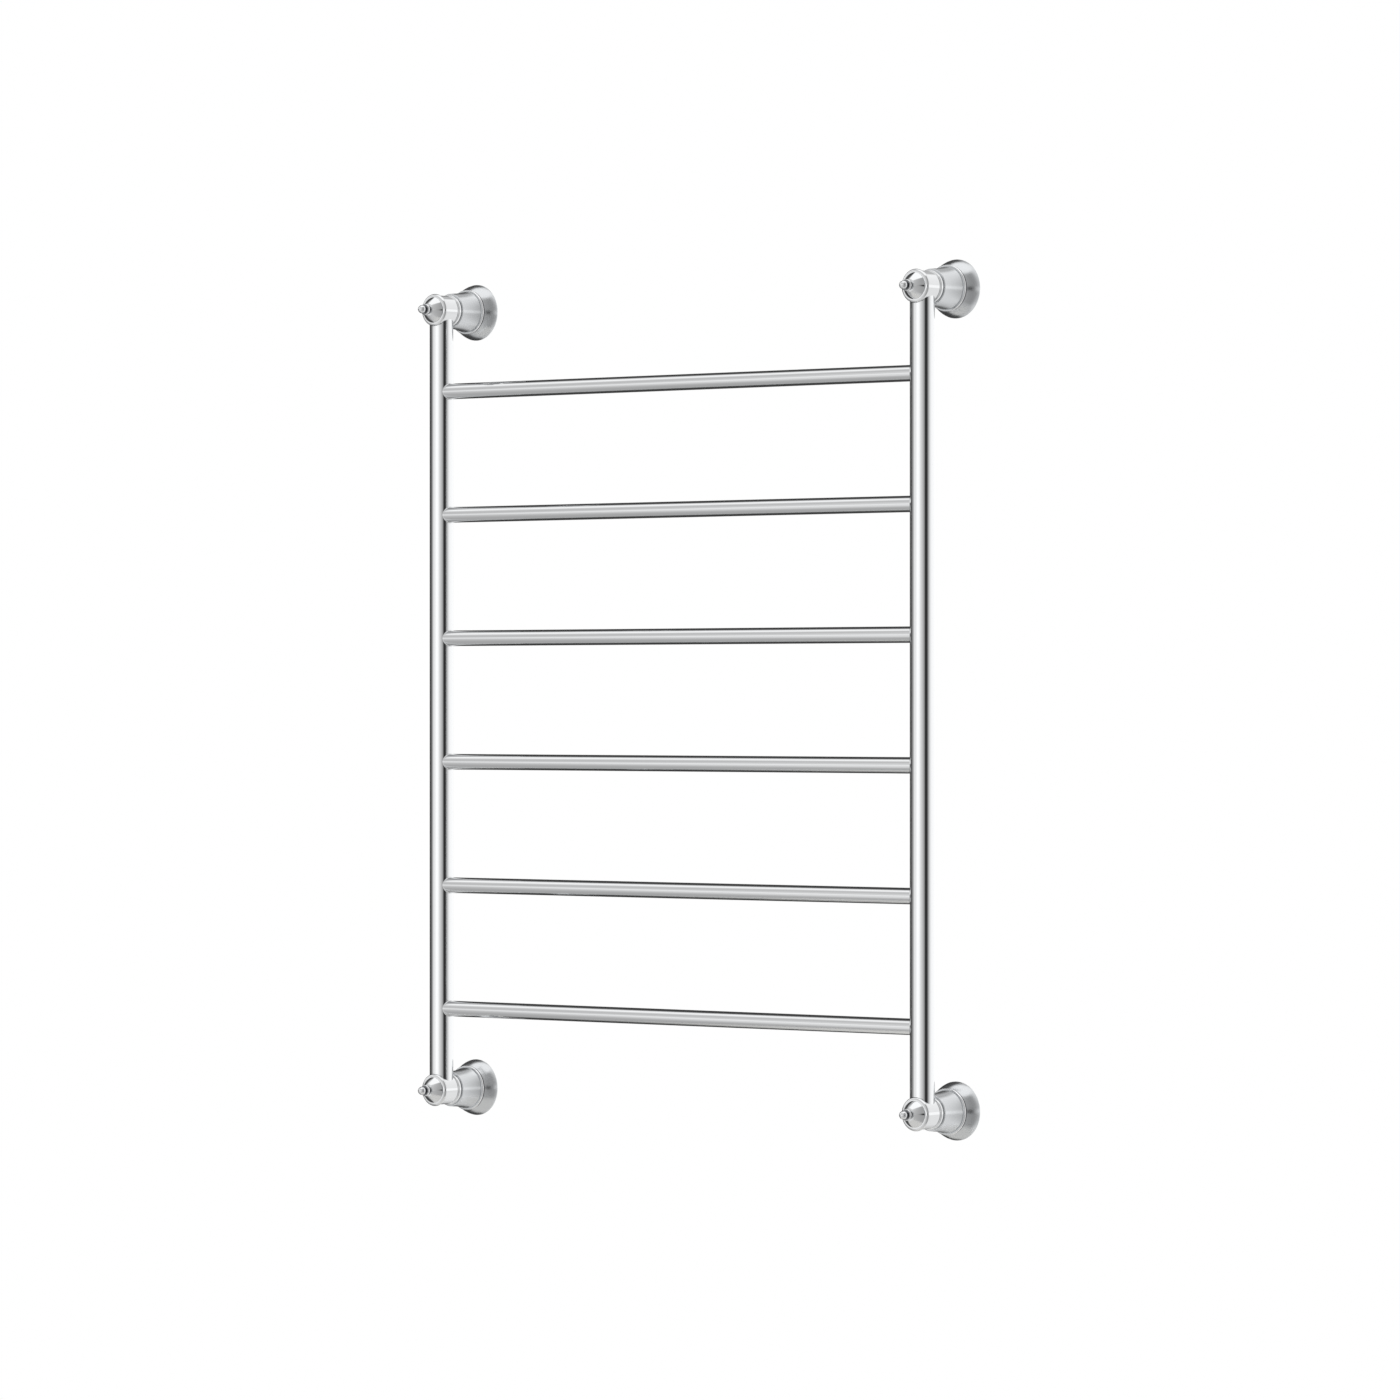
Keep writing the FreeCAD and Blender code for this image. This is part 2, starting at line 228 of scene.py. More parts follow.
def arc_run(centre, start, end, over):
    """Points with tangents along an arc; over picks the way round that passes nearest to it."""
    first = math.atan2(start.y - centre.y, start.x - centre.x)
    last = math.atan2(end.y - centre.y, end.x - centre.x)
    turn = (last - first) % math.tau
    across = math.atan2(over.y - centre.y, over.x - centre.x)
    if (across - first) % math.tau > turn:
        turn -= math.tau
    radius = (start - centre).length
    steps = max(2, math.ceil(abs(turn) / ARC_STEP))
    sign = 1 if turn > 0 else -1
    run = []
    for k in range(steps + 1):
        a = first + turn * k / steps
        run.append((centre + Vector((math.cos(a), math.sin(a))) * radius,
                    Vector((-math.sin(a), math.cos(a))) * sign))
    run[0] = (start, run[0][1])      # exactly, so that the next run shares these points
    run[-1] = (end, run[-1][1])
    return run


def centre_through(a, b, c):
    """Centre of the circle through three points."""
    ab, ac = b - a, c - a
    d = 2 * (ab.x * ac.y - ab.y * ac.x)
    u = (ac.y * ab.length_squared - ab.y * ac.length_squared) / d
    v = (ab.x * ac.length_squared - ac.x * ab.length_squared) / d
    return a + Vector((u, v))


def section(outline):
    """Runs of (point, normal) round a closed section of (s, r, rounding) points. A 4th and
    5th value are the (s, r) that an arc from the point before passes through."""
    points = [Vector(p[:2]) for p in outline]
    count = len(points)
    rounds = []
    for i, p in enumerate(outline):
        here = points[i]
        if p[2] > 0:
            centre, start, end = rounded_corner(points[i - 1], here, points[(i + 1) % count], p[2])
            rounds.append((start, end, arc_run(centre, start, end, here)))
        else:
            rounds.append((here, here, None))
    runs = []
    for i, p in enumerate(outline):
        start, end = rounds[i - 1][1], rounds[i][0]
        if len(p) > 3:
            over = Vector(p[3:5])
            runs.append(arc_run(centre_through(start, over, end), start, end, over))
        elif (end - start).length > SHORTEST_EDGE:
            along = (end - start).normalized()
            runs.append([(start, along), (end, along)])
        if rounds[i][2]:
            runs.append(rounds[i][2])
    doubled_area = sum(points[i - 1].x * p.y - p.x * points[i - 1].y for i, p in enumerate(points))
    side = 1 if doubled_area > 0 else -1
    return [[(p, Vector((t.y, -t.x)) * side) for p, t in run] for run in runs], side


def turned(outline, sides=TURNED_SIDES):
    """A section turned about Z. The sides start half a step round, so that they stay inside
    the box of the true round."""
    skin = Skin()
    runs, side = section(outline)
    angles = [math.tau * (j + 0.5) / sides for j in range(sides)]
    circle = [(math.cos(a), math.sin(a)) for a in angles]
    for run in runs:
        rows = [[(p.y * c, p.y * s, p.x) for c, s in circle] for p, n in run]
        normals = [[(n.y * c, n.y * s, n.x) for c, s in circle] for p, n in run]
        if side < 0:
            rows.reverse()
            normals.reverse()
        skin.grid(rows, normals, closed=True)
    return skin


def tube_section(outer, inner, low, high, rounding):
    return [(low, inner, rounding), (low, outer, rounding),
            (high, outer, rounding), (high, inner, rounding)]


# ---- materials -----------------------------------------------------------------------------------
RING_DEPTH = 0.0004             # turning rings, mm
POLISH_HAZE = 1.8               # how much rougher the haziest patches are than the clearest
SATIN_HAZE = 1.15
PATCH_GRAINS = 12               # width of a patch of tint, in grains
PATCH_EDGES = (0.35, 0.65)      # noise at which one tint starts to turn into the other, and ends
NOISE_SPREAD = (0.3, 0.7)       # most of a noise's values lie between these
BAND_EDGES = (0.8, 1.2)         # shares of a band's half width between which it fades out


def add(tree, kind, inputs=None, **settings):
    """Adds a node with its settings; inputs are values or sockets to link, by name or number."""
    node = tree.nodes.new("ShaderNode" + kind)
    for name, value in settings.items():
        setattr(node, name, value)
    for key, value in (inputs or {}).items():
        if isinstance(value, bpy.types.NodeSocket):
            tree.links.new(value, node.inputs[key])
        else:
            node.inputs[key].default_value = value
    return node


def per_mm(size):
    """Scale that makes a texture's features about this many millimetres across."""
    return 1 / (size * MM)


def new_material(name):
    """(material, tree, shader, own coordinates in metres)"""
    material = bpy.data.materials.new(name)
    material.use_nodes = True
    tree = material.node_tree
    tree.nodes.clear()
    shader = add(tree, "BsdfPrincipled")
    add(tree, "OutputMaterial", {"Surface": shader.outputs["BSDF"]})
    where = add(tree, "TexCoord").outputs["Object"]
    return material, tree, shader, where


def roughness_between(tree, fac, low, high):
    """Roughness that follows a noise."""
    start, end = NOISE_SPREAD
    return add(tree, "MapRange", {"Value": fac, "From Min": start, "From Max": end,
                                  "To Min": low, "To Max": high}).outputs["Result"]


def turning_rings(tree, where, spacing_mm, normal):
    """Bump for the faint rings that a tool leaves round the piece's own Z axis."""
    flat = add(tree, "VectorMath", {0: where, 1: (1.0, 1.0, 0.0)}, operation="MULTIPLY")
    radius = add(tree, "VectorMath", {0: flat.outputs["Vector"]}, operation="LENGTH")
    rings = add(tree, "Math", {0: radius.outputs["Value"], 1: math.tau / (spacing_mm * MM)},
                operation="MULTIPLY")
    wave = add(tree, "Math", {0: rings.outputs["Value"]}, operation="SINE")
    return add(tree, "Bump", {"Height": wave.outputs["Value"], "Distance": RING_DEPTH * MM,
                              "Normal": normal}).outputs["Normal"]


def banded_colour(tree, where, colour, bands):
    """Colour with bands of other colours round the piece's own Z axis. A band is (its middle
    along the axis in mm, half its width in mm, its colour), and its edges are soft."""
    height = add(tree, "SeparateXYZ", {0: where}).outputs["Z"]
    # Here the bands are painted shade and painted highlight
    for at, half, other in bands:
        away = add(tree, "Math", {0: height, 1: at * MM}, operation="SUBTRACT").outputs[0]
        away = add(tree, "Math", {0: away}, operation="ABSOLUTE").outputs[0]
        start, end = (half * edge * MM for edge in BAND_EDGES)
        share = add(tree, "MapRange", {"Value": away, "From Min": start, "From Max": end,
                                       "To Min": 1.0, "To Max": 0.0})
        colour = add(tree, "Mix", {0: share.outputs[0], 6: colour, 7: other},
                     data_type="RGBA").outputs[2]
    return colour


def chrome(name, haze_mm, ripple_mm, stretch, ripple_share, rings_mm=None, satin=False, bands=()):
    """Chrome plate over polished metal: neutral, mirror-like or satin, with a faint haze."""
    finish = bpy.context.scene.rack_chrome
    colour = finish.satin_colour if satin else finish.colour
    roughness = finish.satin if satin else finish.roughness
    haze_gain = SATIN_HAZE if satin else POLISH_HAZE
    material, tree, shader, where = new_material(name)
    shader.inputs["Metallic"].default_value = 1.0
    shader.inputs["Base Color"].default_value = colour
    if bands:
        # Bands of painted shade and painted highlight in the base colour, where given
        tree.links.new(banded_colour(tree, where, colour[:], bands), shader.inputs["Base Color"])
    haze = add(tree, "TexNoise", {"Vector": where, "Scale": per_mm(haze_mm), "Detail": 3.0})
    rough = roughness_between(tree, haze.outputs["Fac"], roughness, roughness * haze_gain)
    tree.links.new(rough, shader.inputs["Roughness"])
    along = add(tree, "Mapping", {"Vector": where, "Scale": (1.0, 1.0, 1 / stretch)})
    ripple = add(tree, "TexNoise", {"Vector": along.outputs["Vector"],
                                    "Scale": per_mm(ripple_mm), "Detail": 1.0})
    normal = add(tree, "Bump", {"Height": ripple.outputs["Fac"],
                                "Distance": finish.ripple * ripple_share}).outputs["Normal"]
    if rings_mm:
        normal = turning_rings(tree, where, rings_mm, normal)
    tree.links.new(normal, shader.inputs["Normal"])
    return material


def once(maker):
    """Makes a material the first time that it is asked for."""
    name = maker.__name__
    return bpy.data.materials.get(name) or maker(name)


def drawn_brass_tube_chrome_plated(name):
    """Drawn brass tube, polished on a belt and chrome plated: straight, clean reflections,
    with waves that are long along the tube and short across it."""
    return chrome(name, haze_mm=26, ripple_mm=14, stretch=9, ripple_share=0.35)


def turned_brass_chrome_plated(name):
    """Cast and turned brass, buffed by hand and chrome plated: a softer ripple than the tubes."""
    return chrome(name, haze_mm=9, ripple_mm=7, stretch=1, ripple_share=0.3)


def grooved_brass_chrome_plated_with_painted_shade(name):
    """Turned and grooved brass, buffed and chrome plated, with painted shade: the groove between
    the cone and the bead, and the neck before the ball, take a dark colour in place of their shade."""
    dark = bpy.context.scene.rack_chrome.painted_shade_colour
    # Painted shade: dark bands of colour at the neck and the groove
    neck, groove = (-31.6, 0.7, dark), (-26.6, 1.2, dark)
    return chrome(name, haze_mm=9, ripple_mm=7, stretch=1, ripple_share=0.3, bands=(neck, groove))


def spun_brass_chrome_plated_with_painted_highlight_and_shade(name):
    """Spun brass sheet, finished with fine paper while it turns and chrome plated: satin, so
    that the bevel shows broad soft greys, with very faint rings, which are drawn 1.6 mm apart
    so that they can show. Painted highlight on the beaded ridge, painted shade in the crease behind
    it."""
    finish = bpy.context.scene.rack_chrome
    # Painted highlight on the ridge and painted shade in the crease, as bands of colour
    ridge, crease = (46.5, 1.3, finish.painted_highlight_colour), (48.5, 0.5, finish.painted_shade_colour)
    return chrome(name, haze_mm=14, ripple_mm=12, stretch=1, ripple_share=0.4, rings_mm=1.6,
                  satin=True, bands=(ridge, crease))


def plain_finish(name, colours, roughness, grain_mm, depth_mm, metallic=1.0, stretch=1.0,
                 specular=0.5):
    """A surface whose colour, gloss and grain follow one noise."""
    material, tree, shader, where = new_material(name)
    along = add(tree, "Mapping", {"Vector": where, "Scale": (1.0, 1.0, 1 / stretch)})
    grain = add(tree, "TexNoise", {"Vector": along.outputs["Vector"],
                                   "Scale": per_mm(grain_mm), "Detail": 6.0})
    patch = add(tree, "TexNoise", {"Vector": where, "Scale": per_mm(grain_mm * PATCH_GRAINS),
                                   "Detail": 3.0})
    tint = add(tree, "ValToRGB", {"Fac": patch.outputs["Fac"]})
    for element, position, colour in zip(tint.color_ramp.elements, PATCH_EDGES, colours):
        element.position = position
        element.color = linear(colour)
    tree.links.new(tint.outputs["Color"], shader.inputs["Base Color"])
    rough = roughness_between(tree, grain.outputs["Fac"], *roughness)
    tree.links.new(rough, shader.inputs["Roughness"])
    shader.inputs["Metallic"].default_value = metallic
    shader.inputs["Specular IOR Level"].default_value = specular
    bump = add(tree, "Bump", {"Height": grain.outputs["Fac"], "Distance": depth_mm * MM})
    tree.links.new(bump.outputs["Normal"], shader.inputs["Normal"])
    return material


def machined_steel_zinc_plated(name):
    """Machined steel, zinc plated: bluish grey, satin, in faint cloudy patches."""
    return plain_finish(name, ("#A9AFB6", "#C3C6C8"), roughness=(0.28, 0.42), grain_mm=0.9,
                        depth_mm=0.01)


def steel_tube_bright_drawn(name):
    """Bright drawn steel tube: grey, with fine lines along the draw."""
    return plain_finish(name, ("#9D9D9C", "#B4B4B2"), roughness=(0.25, 0.38), grain_mm=0.6,
                        depth_mm=0.008, stretch=20)


def copper_tag_tinned(name):
    """Tinned copper stamping: soft white metal, slightly warm."""
    return plain_finish(name, ("#C2C1BB", "#D6D5D0"), roughness=(0.22, 0.35), grain_mm=0.7,
                        depth_mm=0.006)


def rubber_moulded(name):
    """Moulded black rubber: matt, with the fine grain of a blasted mould."""
    return plain_finish(name, ("#161617", "#222223"), roughness=(0.55, 0.75), grain_mm=0.35,
                        depth_mm=0.02, metallic=0.0, specular=0.4)


def silicone_extruded(name):
    """Extruded silicone sheath: brick red, satin, with a slight draw along its length."""
    return plain_finish(name, ("#8C3325", "#9C3D2C"), roughness=(0.4, 0.55), grain_mm=0.4,
                        depth_mm=0.01, metallic=0.0)


def silicone_moulded(name):
    """Moulded silicone sleeve: dark grey, satin."""
    return plain_finish(name, ("#2C2C2D", "#383839"), roughness=(0.4, 0.55), grain_mm=0.4,
                        depth_mm=0.012, metallic=0.0)


def aluminium_can_drawn(name):
    """Drawn aluminium can: pale, with faint draw lines."""
    return plain_finish(name, ("#C9CACC", "#D9DADB"), roughness=(0.2, 0.32), grain_mm=0.5,
                        depth_mm=0.006, stretch=12)


# ---- the pieces ----------------------------------------------------------------------------------
def carried(nodes, maker):
    """Gives CAD nodes that stay as they are their material."""
    for node in nodes:
        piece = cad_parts[node]
        piece.data.materials.clear()
        piece.data.materials.append(once(maker))


def bracket_place(corner):
    """Where a bracket piece stands: on its arm's axis, at the post's axis."""
    at = middle("flange_" + corner)
    axis = (round(at.x, AXIS_DECIMALS), middle("post_left").y, round(at.z, AXIS_DECIMALS))
    return Matrix.Translation(axis) @ INTO_WALL


class RACK_OT_posts(bpy.types.Operator):
    """Builds the two posts, coped to their tees and bored for the rails"""
    bl_idname = "rack.posts"
    bl_label = "Posts"

    barrel_radius = 18.05        # tee's barrel and end rings, with the braze gap
    ring_radius = 19.55
    ring_from_middle = 10.65
    cope_step = 0.002            # turn over which the cope steps from the barrel to a ring
    beside_hole_steps = 4        # steps round the tube, for each stretch of its end
    under_ring_steps = 40
    under_barrel_steps = 32

    def cope(self, x, y, on_ring):
        radius = self.ring_radius if on_ring else self.barrel_radius
        return math.sqrt(radius ** 2 - x ** 2)

    def columns(self, radius, hole_radius):
        """(x, y, half height of a rail's hole, on the ring) once round a wall of the tube."""
        across = math.asin(hole_radius / radius)
        ring = math.asin(self.ring_from_middle / radius)
        barrel = ring - self.cope_step
        rounds = [(across, barrel, self.beside_hole_steps, False),
                  (ring, math.pi - ring, self.under_ring_steps, True),
                  (math.pi - barrel, math.pi + barrel, self.under_barrel_steps, False),
                  (math.pi + ring, math.tau - ring, self.under_ring_steps, True),
                  (math.tau - barrel, math.tau - across, self.beside_hole_steps, False)]
        found = []
        for k in range(HOLE_STEPS + 1):
            turn = math.pi * (k / HOLE_STEPS - 0.5)
            y = hole_radius * math.sin(turn)
            found.append((math.sqrt(radius ** 2 - y ** 2), y, hole_radius * math.cos(turn), False))
        for first, last, steps, on_ring in rounds:
            for k in range(steps + 1):
                a = first + (last - first) * k / steps
                found.append((radius * math.cos(a), radius * math.sin(a), 0.0, on_ring))
        return found

    def execute(self, context):
        sizes = context.scene.rack_tubes
        outer = sizes.post_diameter / 2 / MM
        inner = outer - sizes.post_wall / MM
        hole = (sizes.rail_diameter / 2 + sizes.braze_gap) / MM
        arm_height = middle("flange_top_left").z / MM
        rails = sorted(middle("rail_%d" % i).z / MM for i in range(1, 7))
        walls = [self.columns(radius, hole) for radius in (outer, inner)]
        levels = []
        for wall in walls:
            levels.append([])
            for x, y, half, on_ring in wall:
                end = arm_height - self.cope(x, y, on_ring)
                heights = [-end]
                for z in rails:
                    heights += [z - half, z + half]
                levels[-1].append(heights + [end])
        skin = Skin()
        count = len(walls[0])
        for k in range(count):
            m = (k + 1) % count
            corners = []
            for wall, heights in zip(walls, levels):
                corners.append([[(wall[i][0], wall[i][1], z) for z in heights[i]] for i in (k, m)])
            for (left, right), out, radius in zip(corners, (1, -1), (outer, inner)):
                normals = [(p[0] / radius * out, p[1] / radius * out, 0)
                           for p in (left[0], right[0])]
                for i in range(0, len(left), 2):
                    ring = [left[i], right[i], right[i + 1], left[i + 1]]
                    facing = [normals[0], normals[1], normals[1], normals[0]]
                    skin.face(ring[::out], facing[::out])
            (a, b), (c, d) = corners
            for i in range(1, len(a) - 1) if k < HOLE_STEPS else ():
                z = rails[(i - 1) // 2]
                ring = [a[i], b[i], d[i], c[i]] if i % 2 else [b[i], a[i], c[i], d[i]]
                facing = [(0, -p[1] / hole, (z - p[2]) / hole) for p in ring]
                skin.face(ring, facing)
            for i, up in ((0, -1), (-1, 1)):
                ring = [a[i], b[i], d[i], c[i]][::up]
                skin.face(ring, [(0, 0, up)] * 4)
        for node, spin in (("post_left", 0.0), ("post_right", math.pi)):
            place = Matrix.Translation(middle(node)) @ Matrix.Rotation(spin, 4, "Z")
            skin.object(node + "_tube", place, once(drawn_brass_tube_chrome_plated),
                        "chromed_tube", [node])
        return {"FINISHED"}


class RACK_OT_rails(bpy.types.Operator):
    """Builds the six rails, open tubes that end inside the posts"""
    bl_idname = "rack.rails"
    bl_label = "Rails"

    end_rounding = 0.2           # deburred tube end, mm

    def execute(self, context):
        sizes = context.scene.rack_tubes
        outer = sizes.rail_diameter / 2 / MM
        inner = outer - sizes.rail_wall / MM
        for i in range(1, 7):
            node = "rail_%d" % i
            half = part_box(node)[1].x / MM
            skin = turned(tube_section(outer, inner, -half, half, self.end_rounding), TUBE_SIDES)
            skin.object(node + "_tube", Matrix.Translation(middle(node)) @ ALONG_RAILS,
                        once(drawn_brass_tube_chrome_plated), "chromed_tube", [node])
        return {"FINISHED"}


class RACK_OT_fillets(bpy.types.Operator):
    """Builds the polished fillet of braze round each rail where it meets a post"""
    bl_idname = "rack.fillets"
    bl_label = "Braze fillets"

    root = 0.35                  # how far the fillet's root lies inside the metal, mm

    def ring(self, skin, post_radius, rail_radius, fillet):
        rows = []
        for j in range(TUBE_SIDES):
            a = math.tau * j / TUBE_SIDES
            off_rail = Vector((0, math.cos(a), math.sin(a)))
            out = rail_radius + fillet
            y = out * off_rail.y
            centre = Vector((math.sqrt((post_radius + fillet) ** 2 - y ** 2), y, out * off_rail.z))
            off_post = Vector((centre.x, y, 0)) / (post_radius + fillet)
            turn = off_rail.angle(off_post)
            row = []
            for k in range(FILLET_ROWS + 1):
                share = k / FILLET_ROWS
                from_rail = off_rail * math.sin((1 - share) * turn)
                from_post = off_post * math.sin(share * turn)
                way = (from_rail + from_post) / math.sin(turn)
                row.append((centre - way * fillet, way))
            corner = Vector((math.sqrt(post_radius ** 2 - (rail_radius * off_rail.y) ** 2),
                             rail_radius * off_rail.y, rail_radius * off_rail.z))
            row.append((corner - (off_rail + off_post) * self.root, None))
            rows.append(row)
        width = len(rows[0])
        for j, here in enumerate(rows):
            there = rows[(j + 1) % TUBE_SIDES]
            for k in range(width):
                m = (k + 1) % width
                ring = [here[k], here[m], there[m], there[k]]
                points = [p for p, n in ring]
                flat = (points[1] - points[0]).cross(points[3] - points[0]).normalized()
                smooth = k < FILLET_ROWS
                skin.face(points, [n if smooth else flat for p, n in ring])

    def execute(self, context):
        sizes = context.scene.rack_tubes
        skin = Skin()
        self.ring(skin, sizes.post_diameter / 2 / MM, sizes.rail_diameter / 2 / MM,
                  sizes.fillet_radius / MM)
        for post, spin in (("post_left", 0.0), ("post_right", math.pi)):
            for i in range(1, 7):
                at = middle(post)
                at.z = middle("rail_%d" % i).z
                place = Matrix.Translation(at) @ Matrix.Rotation(spin, 4, "Z")
                skin.object("braze_%s_rail_%d" % (post, i), place,
                            once(turned_brass_chrome_plated), "chromed_tube")
        return {"FINISHED"}


class RACK_OT_tees(bpy.types.Operator):
    """Builds the four spool-shaped tees that join the posts to their arms"""
    bl_idname = "rack.tees"
    bl_label = "Tees"

    spool = [(-15.3, 3.05, 0.3), (-15.3, 19.5, 3.1), (-10.7, 19.5, 1.1), (-10.7, 18.0, 0.35),
             (10.7, 18.0, 0.35), (10.7, 19.5, 1.1), (15.3, 19.5, 1.1), (15.3, 10.05, 0.4),
             (7.3, 10.05, 0), (7.3, 8.0, 0), (-7.0, 8.0, 0), (-7.0, 3.05, 0)]

    def execute(self, context):
        skin = turned(self.spool)
        for corner in CORNERS:
            skin.object("tee_%s_casting" % corner, bracket_place(corner),
                        once(turned_brass_chrome_plated), "chromed_casting", ["tee_" + corner])
        return {"FINISHED"}


class RACK_OT_finials(bpy.types.Operator):
    """Builds the four turned front caps: domed cone, groove, bead, neck and ball"""
    bl_idname = "rack.finials"
    bl_label = "Front caps"

    cap = [(-15.35, 3.05, 0.3), (-15.35, 15.8, 0.3), (-24.3, 7.3, 0, -20.05, 11.8),
           (-24.8, 5.6, 0), (-28.0, 5.6, 0), (-28.0, 6.9, 0.9), (-31.0, 6.9, 1.3),
           (-31.0, 3.6, 0.5), (-31.926, 3.6, 0), (-40.15, 0, 0, -38.715, 3.465),
           (-23.65, 0, 0), (-23.65, 3.05, 0)]

    def execute(self, context):
        skin = turned(self.cap)
        for corner in CORNERS:
            skin.object("finial_%s_cap" % corner, bracket_place(corner),
                        once(grooved_brass_chrome_plated_with_painted_shade), "chromed_casting", ["finial_" + corner])
        return {"FINISHED"}


class RACK_OT_covers(bpy.types.Operator):
    """Builds the four flared wall covers, with a beaded ridge and a domed bevel"""
    bl_idname = "rack.covers"
    bl_label = "Wall covers"

    shell = [(15.6, 10.25, 0.4), (15.6, 21.0, 0.7), (44.7, 25.0, 0, 30.9, 22.3),
             (47.9, 25.9, 0, 46.3, 27.3), (48.3, 26.1, 0), (63.6, 33.99, 0.4, 55.6, 31.2),
             (65.0, 33.99, 0.25), (65.0, 32.0, 0.25),
             (59.2, 32.0, 0.5), (45.5, 23.2, 0.5), (20.1, 19.0, 1.0), (20.1, 10.25, 0),
             (18.8, 10.25, 0), (18.8, 12.15, 0), (16.9, 12.15, 0), (16.9, 10.25, 0)]

    def execute(self, context):
        skin = turned(self.shell)
        for corner in CORNERS:
            skin.object("flange_%s_cover" % corner, bracket_place(corner),
                        once(spun_brass_chrome_plated_with_painted_highlight_and_shade), "chromed_spinning", ["flange_" + corner])
        return {"FINISHED"}


class RACK_OT_wall_fixings(bpy.types.Operator):
    """Finishes the arms, wall plates, screws, seals and earth pieces"""
    bl_idname = "rack.wall_fixings"
    bl_label = "Wall fixings"

    def execute(self, context):
        carried(["arm_" + corner for corner in CORNERS], steel_tube_bright_drawn)
        carried(["wall_plate_" + corner for corner in CORNERS], machined_steel_zinc_plated)
        carried(["finial_studs", "arm_grub_screws", "earth_screw"], machined_steel_zinc_plated)
        carried(["wire_grommet", "flange_o_rings"], rubber_moulded)
        carried(["earth_tag"], copper_tag_tinned)
        return {"FINISHED"}


class RACK_OT_heating(bpy.types.Operator):
    """Finishes the heating cable, its sleeves and the thermal cut-out"""
    bl_idname = "rack.heating"
    bl_label = "Heating element"

    def execute(self, context):
        carried(["heating_cable"], silicone_extruded)
        carried(["cold_joint", "cable_end_seal"], silicone_moulded)
        carried(["thermal_cutout"], aluminium_can_drawn)
        return {"FINISHED"}


# ---- the stage -----------------------------------------------------------------------------------
class RACK_OT_stage(bpy.types.Operator):
    """Builds the pale floor, the soft studio light and the camera"""
    bl_idname = "rack.stage"
    bl_label = "Stage"

    # (degrees from straight in front towards +X, radiance) round the horizon, and about forty
    # degrees up and down
    level = [(-180, 1.2), (-160, 1.16), (-148, 0.9), (-141, 0.35), (-133, 0.10), (-80, 0.07),
             (-70, 0.2), (-62, 0.36), (-48, 0.66), (-40, 0.98), (-25, 0.98), (-14, 1.2), (-4, 1.25),
             (6, 1.2), (15, 1.05), (25, 0.82), (36, 0.70), (43, 0.57), (56, 0.36), (64, 0.04),
             (81, 0.03), (90, 0.2), (100, 0.54), (111, 0.83), (123, 1.06), (136, 1.16), (180, 1.2)]
    upward = [(-180, 1.1), (-164, 0.5), (-150, 0.6), (-142, 0.14), (-136, 0.05), (-108, 0.07),
              (-98, 0.15), (-88, 0.6), (-76, 1.0), (-63, 1.2), (-52, 0.74), (-45, 0.58),
              (-40, 0.76), (20, 0.7), (60, 0.42), (90, 0.34), (107, 0.4), (117, 0.66),
              (128, 0.85), (140, 0.97), (180, 1.1)]
    downward = [(-180, 0.9), (-150, 0.6), (-142, 0.14), (-136, 0.05), (-108, 0.06), (-97, 0.1),
                (-86, 0.42), (-76, 0.46), (-56, 0.46), (-45, 0.57), (-40, 0.86), (0, 0.7),
                (60, 0.42), (90, 0.34), (107, 0.38), (117, 0.6), (128, 0.75), (142, 0.92),
                (180, 0.9)]
    overhead, below = 1.2, 0.6   # radiance straight up and straight down
    level_edge = (4.2, 7.5)      # degrees up or down over which the level light ends
    slanting_edge = (53, 62)     # and over which the light above or below that ends
    full_scale = 2.0             # radiance that is white in the nodes

    floor_rings = (0.0, 0.25, 0.5, 0.75, 1.0)        # shares of the floor's radius
    floor_fade = (0.45, 0.98)                        # and those between which it fades out
    floor_roughness = 0.9
    floor_grain, floor_grain_depth = 3, 0.05         # mm across and mm deep

    def grey(self, radiance):
        return (radiance / self.full_scale,) * 3 + (1,)

    def ramp(self, tree, fac, stops):
        """Grey light that follows (azimuth, radiance) stops."""
        node = add(tree, "ValToRGB", {"Fac": fac})
        elements = node.color_ramp.elements
        while len(elements) < len(stops):
            elements.new(0.5)
        for element, (azimuth, radiance) in zip(elements, stops):
            element.position = (azimuth + 180) / 360
            element.color = self.grey(radiance)
        return node.outputs["Color"]

    def blend(self, tree, fac, low, high, a, b):
        """Colour a where fac is at low, b where it is at high."""
        share = add(tree, "MapRange", {"Value": fac, "From Min": low, "From Max": high},
                    interpolation_type="SMOOTHSTEP").outputs["Result"]
        mixed = add(tree, "Mix", {0: share, 6: a, 7: b}, data_type="RGBA")
        return mixed.outputs[2]

    def studio(self, scene):
        world = bpy.data.worlds.new("soft_studio")
        scene.world = world
        world.use_nodes = True
        tree = world.node_tree
        tree.nodes.clear()
        way = add(tree, "SeparateXYZ", {0: add(tree, "TexCoord").outputs["Generated"]}).outputs
        behind = add(tree, "Math", {0: way["Y"], 1: -1.0}, operation="MULTIPLY").outputs[0]
        turn = add(tree, "Math", {0: way["X"], 1: behind}, operation="ARCTAN2").outputs[0]
        azimuth = add(tree, "MapRange", {"Value": turn, "From Min": -math.pi,
                                         "From Max": math.pi}).outputs[0]
        height = add(tree, "Math", {0: way["Z"]}, operation="ARCSINE").outputs[0]
        light = self.ramp(tree, azimuth, self.level)
        for side, stops, last in ((1, self.upward, self.overhead), (-1, self.downward, self.below)):
            slanting = self.ramp(tree, azimuth, stops)
            for (start, end), beyond in ((self.level_edge, slanting),
                                         (self.slanting_edge, self.grey(last))):
                light = self.blend(tree, height, math.radians(start * side),
                                   math.radians(end * side), light, beyond)
        seen = add(tree, "Background", {"Color": (1, 1, 1, 1), "Strength": 1.0})
        lit = add(tree, "Background", {"Color": light, "Strength": self.full_scale})
        path = add(tree, "LightPath")
        both = add(tree, "MixShader", {0: path.outputs["Is Camera Ray"], 1: lit.outputs[0],
                                       2: seen.outputs[0]})
        add(tree, "OutputWorld", {"Surface": both.outputs[0]})

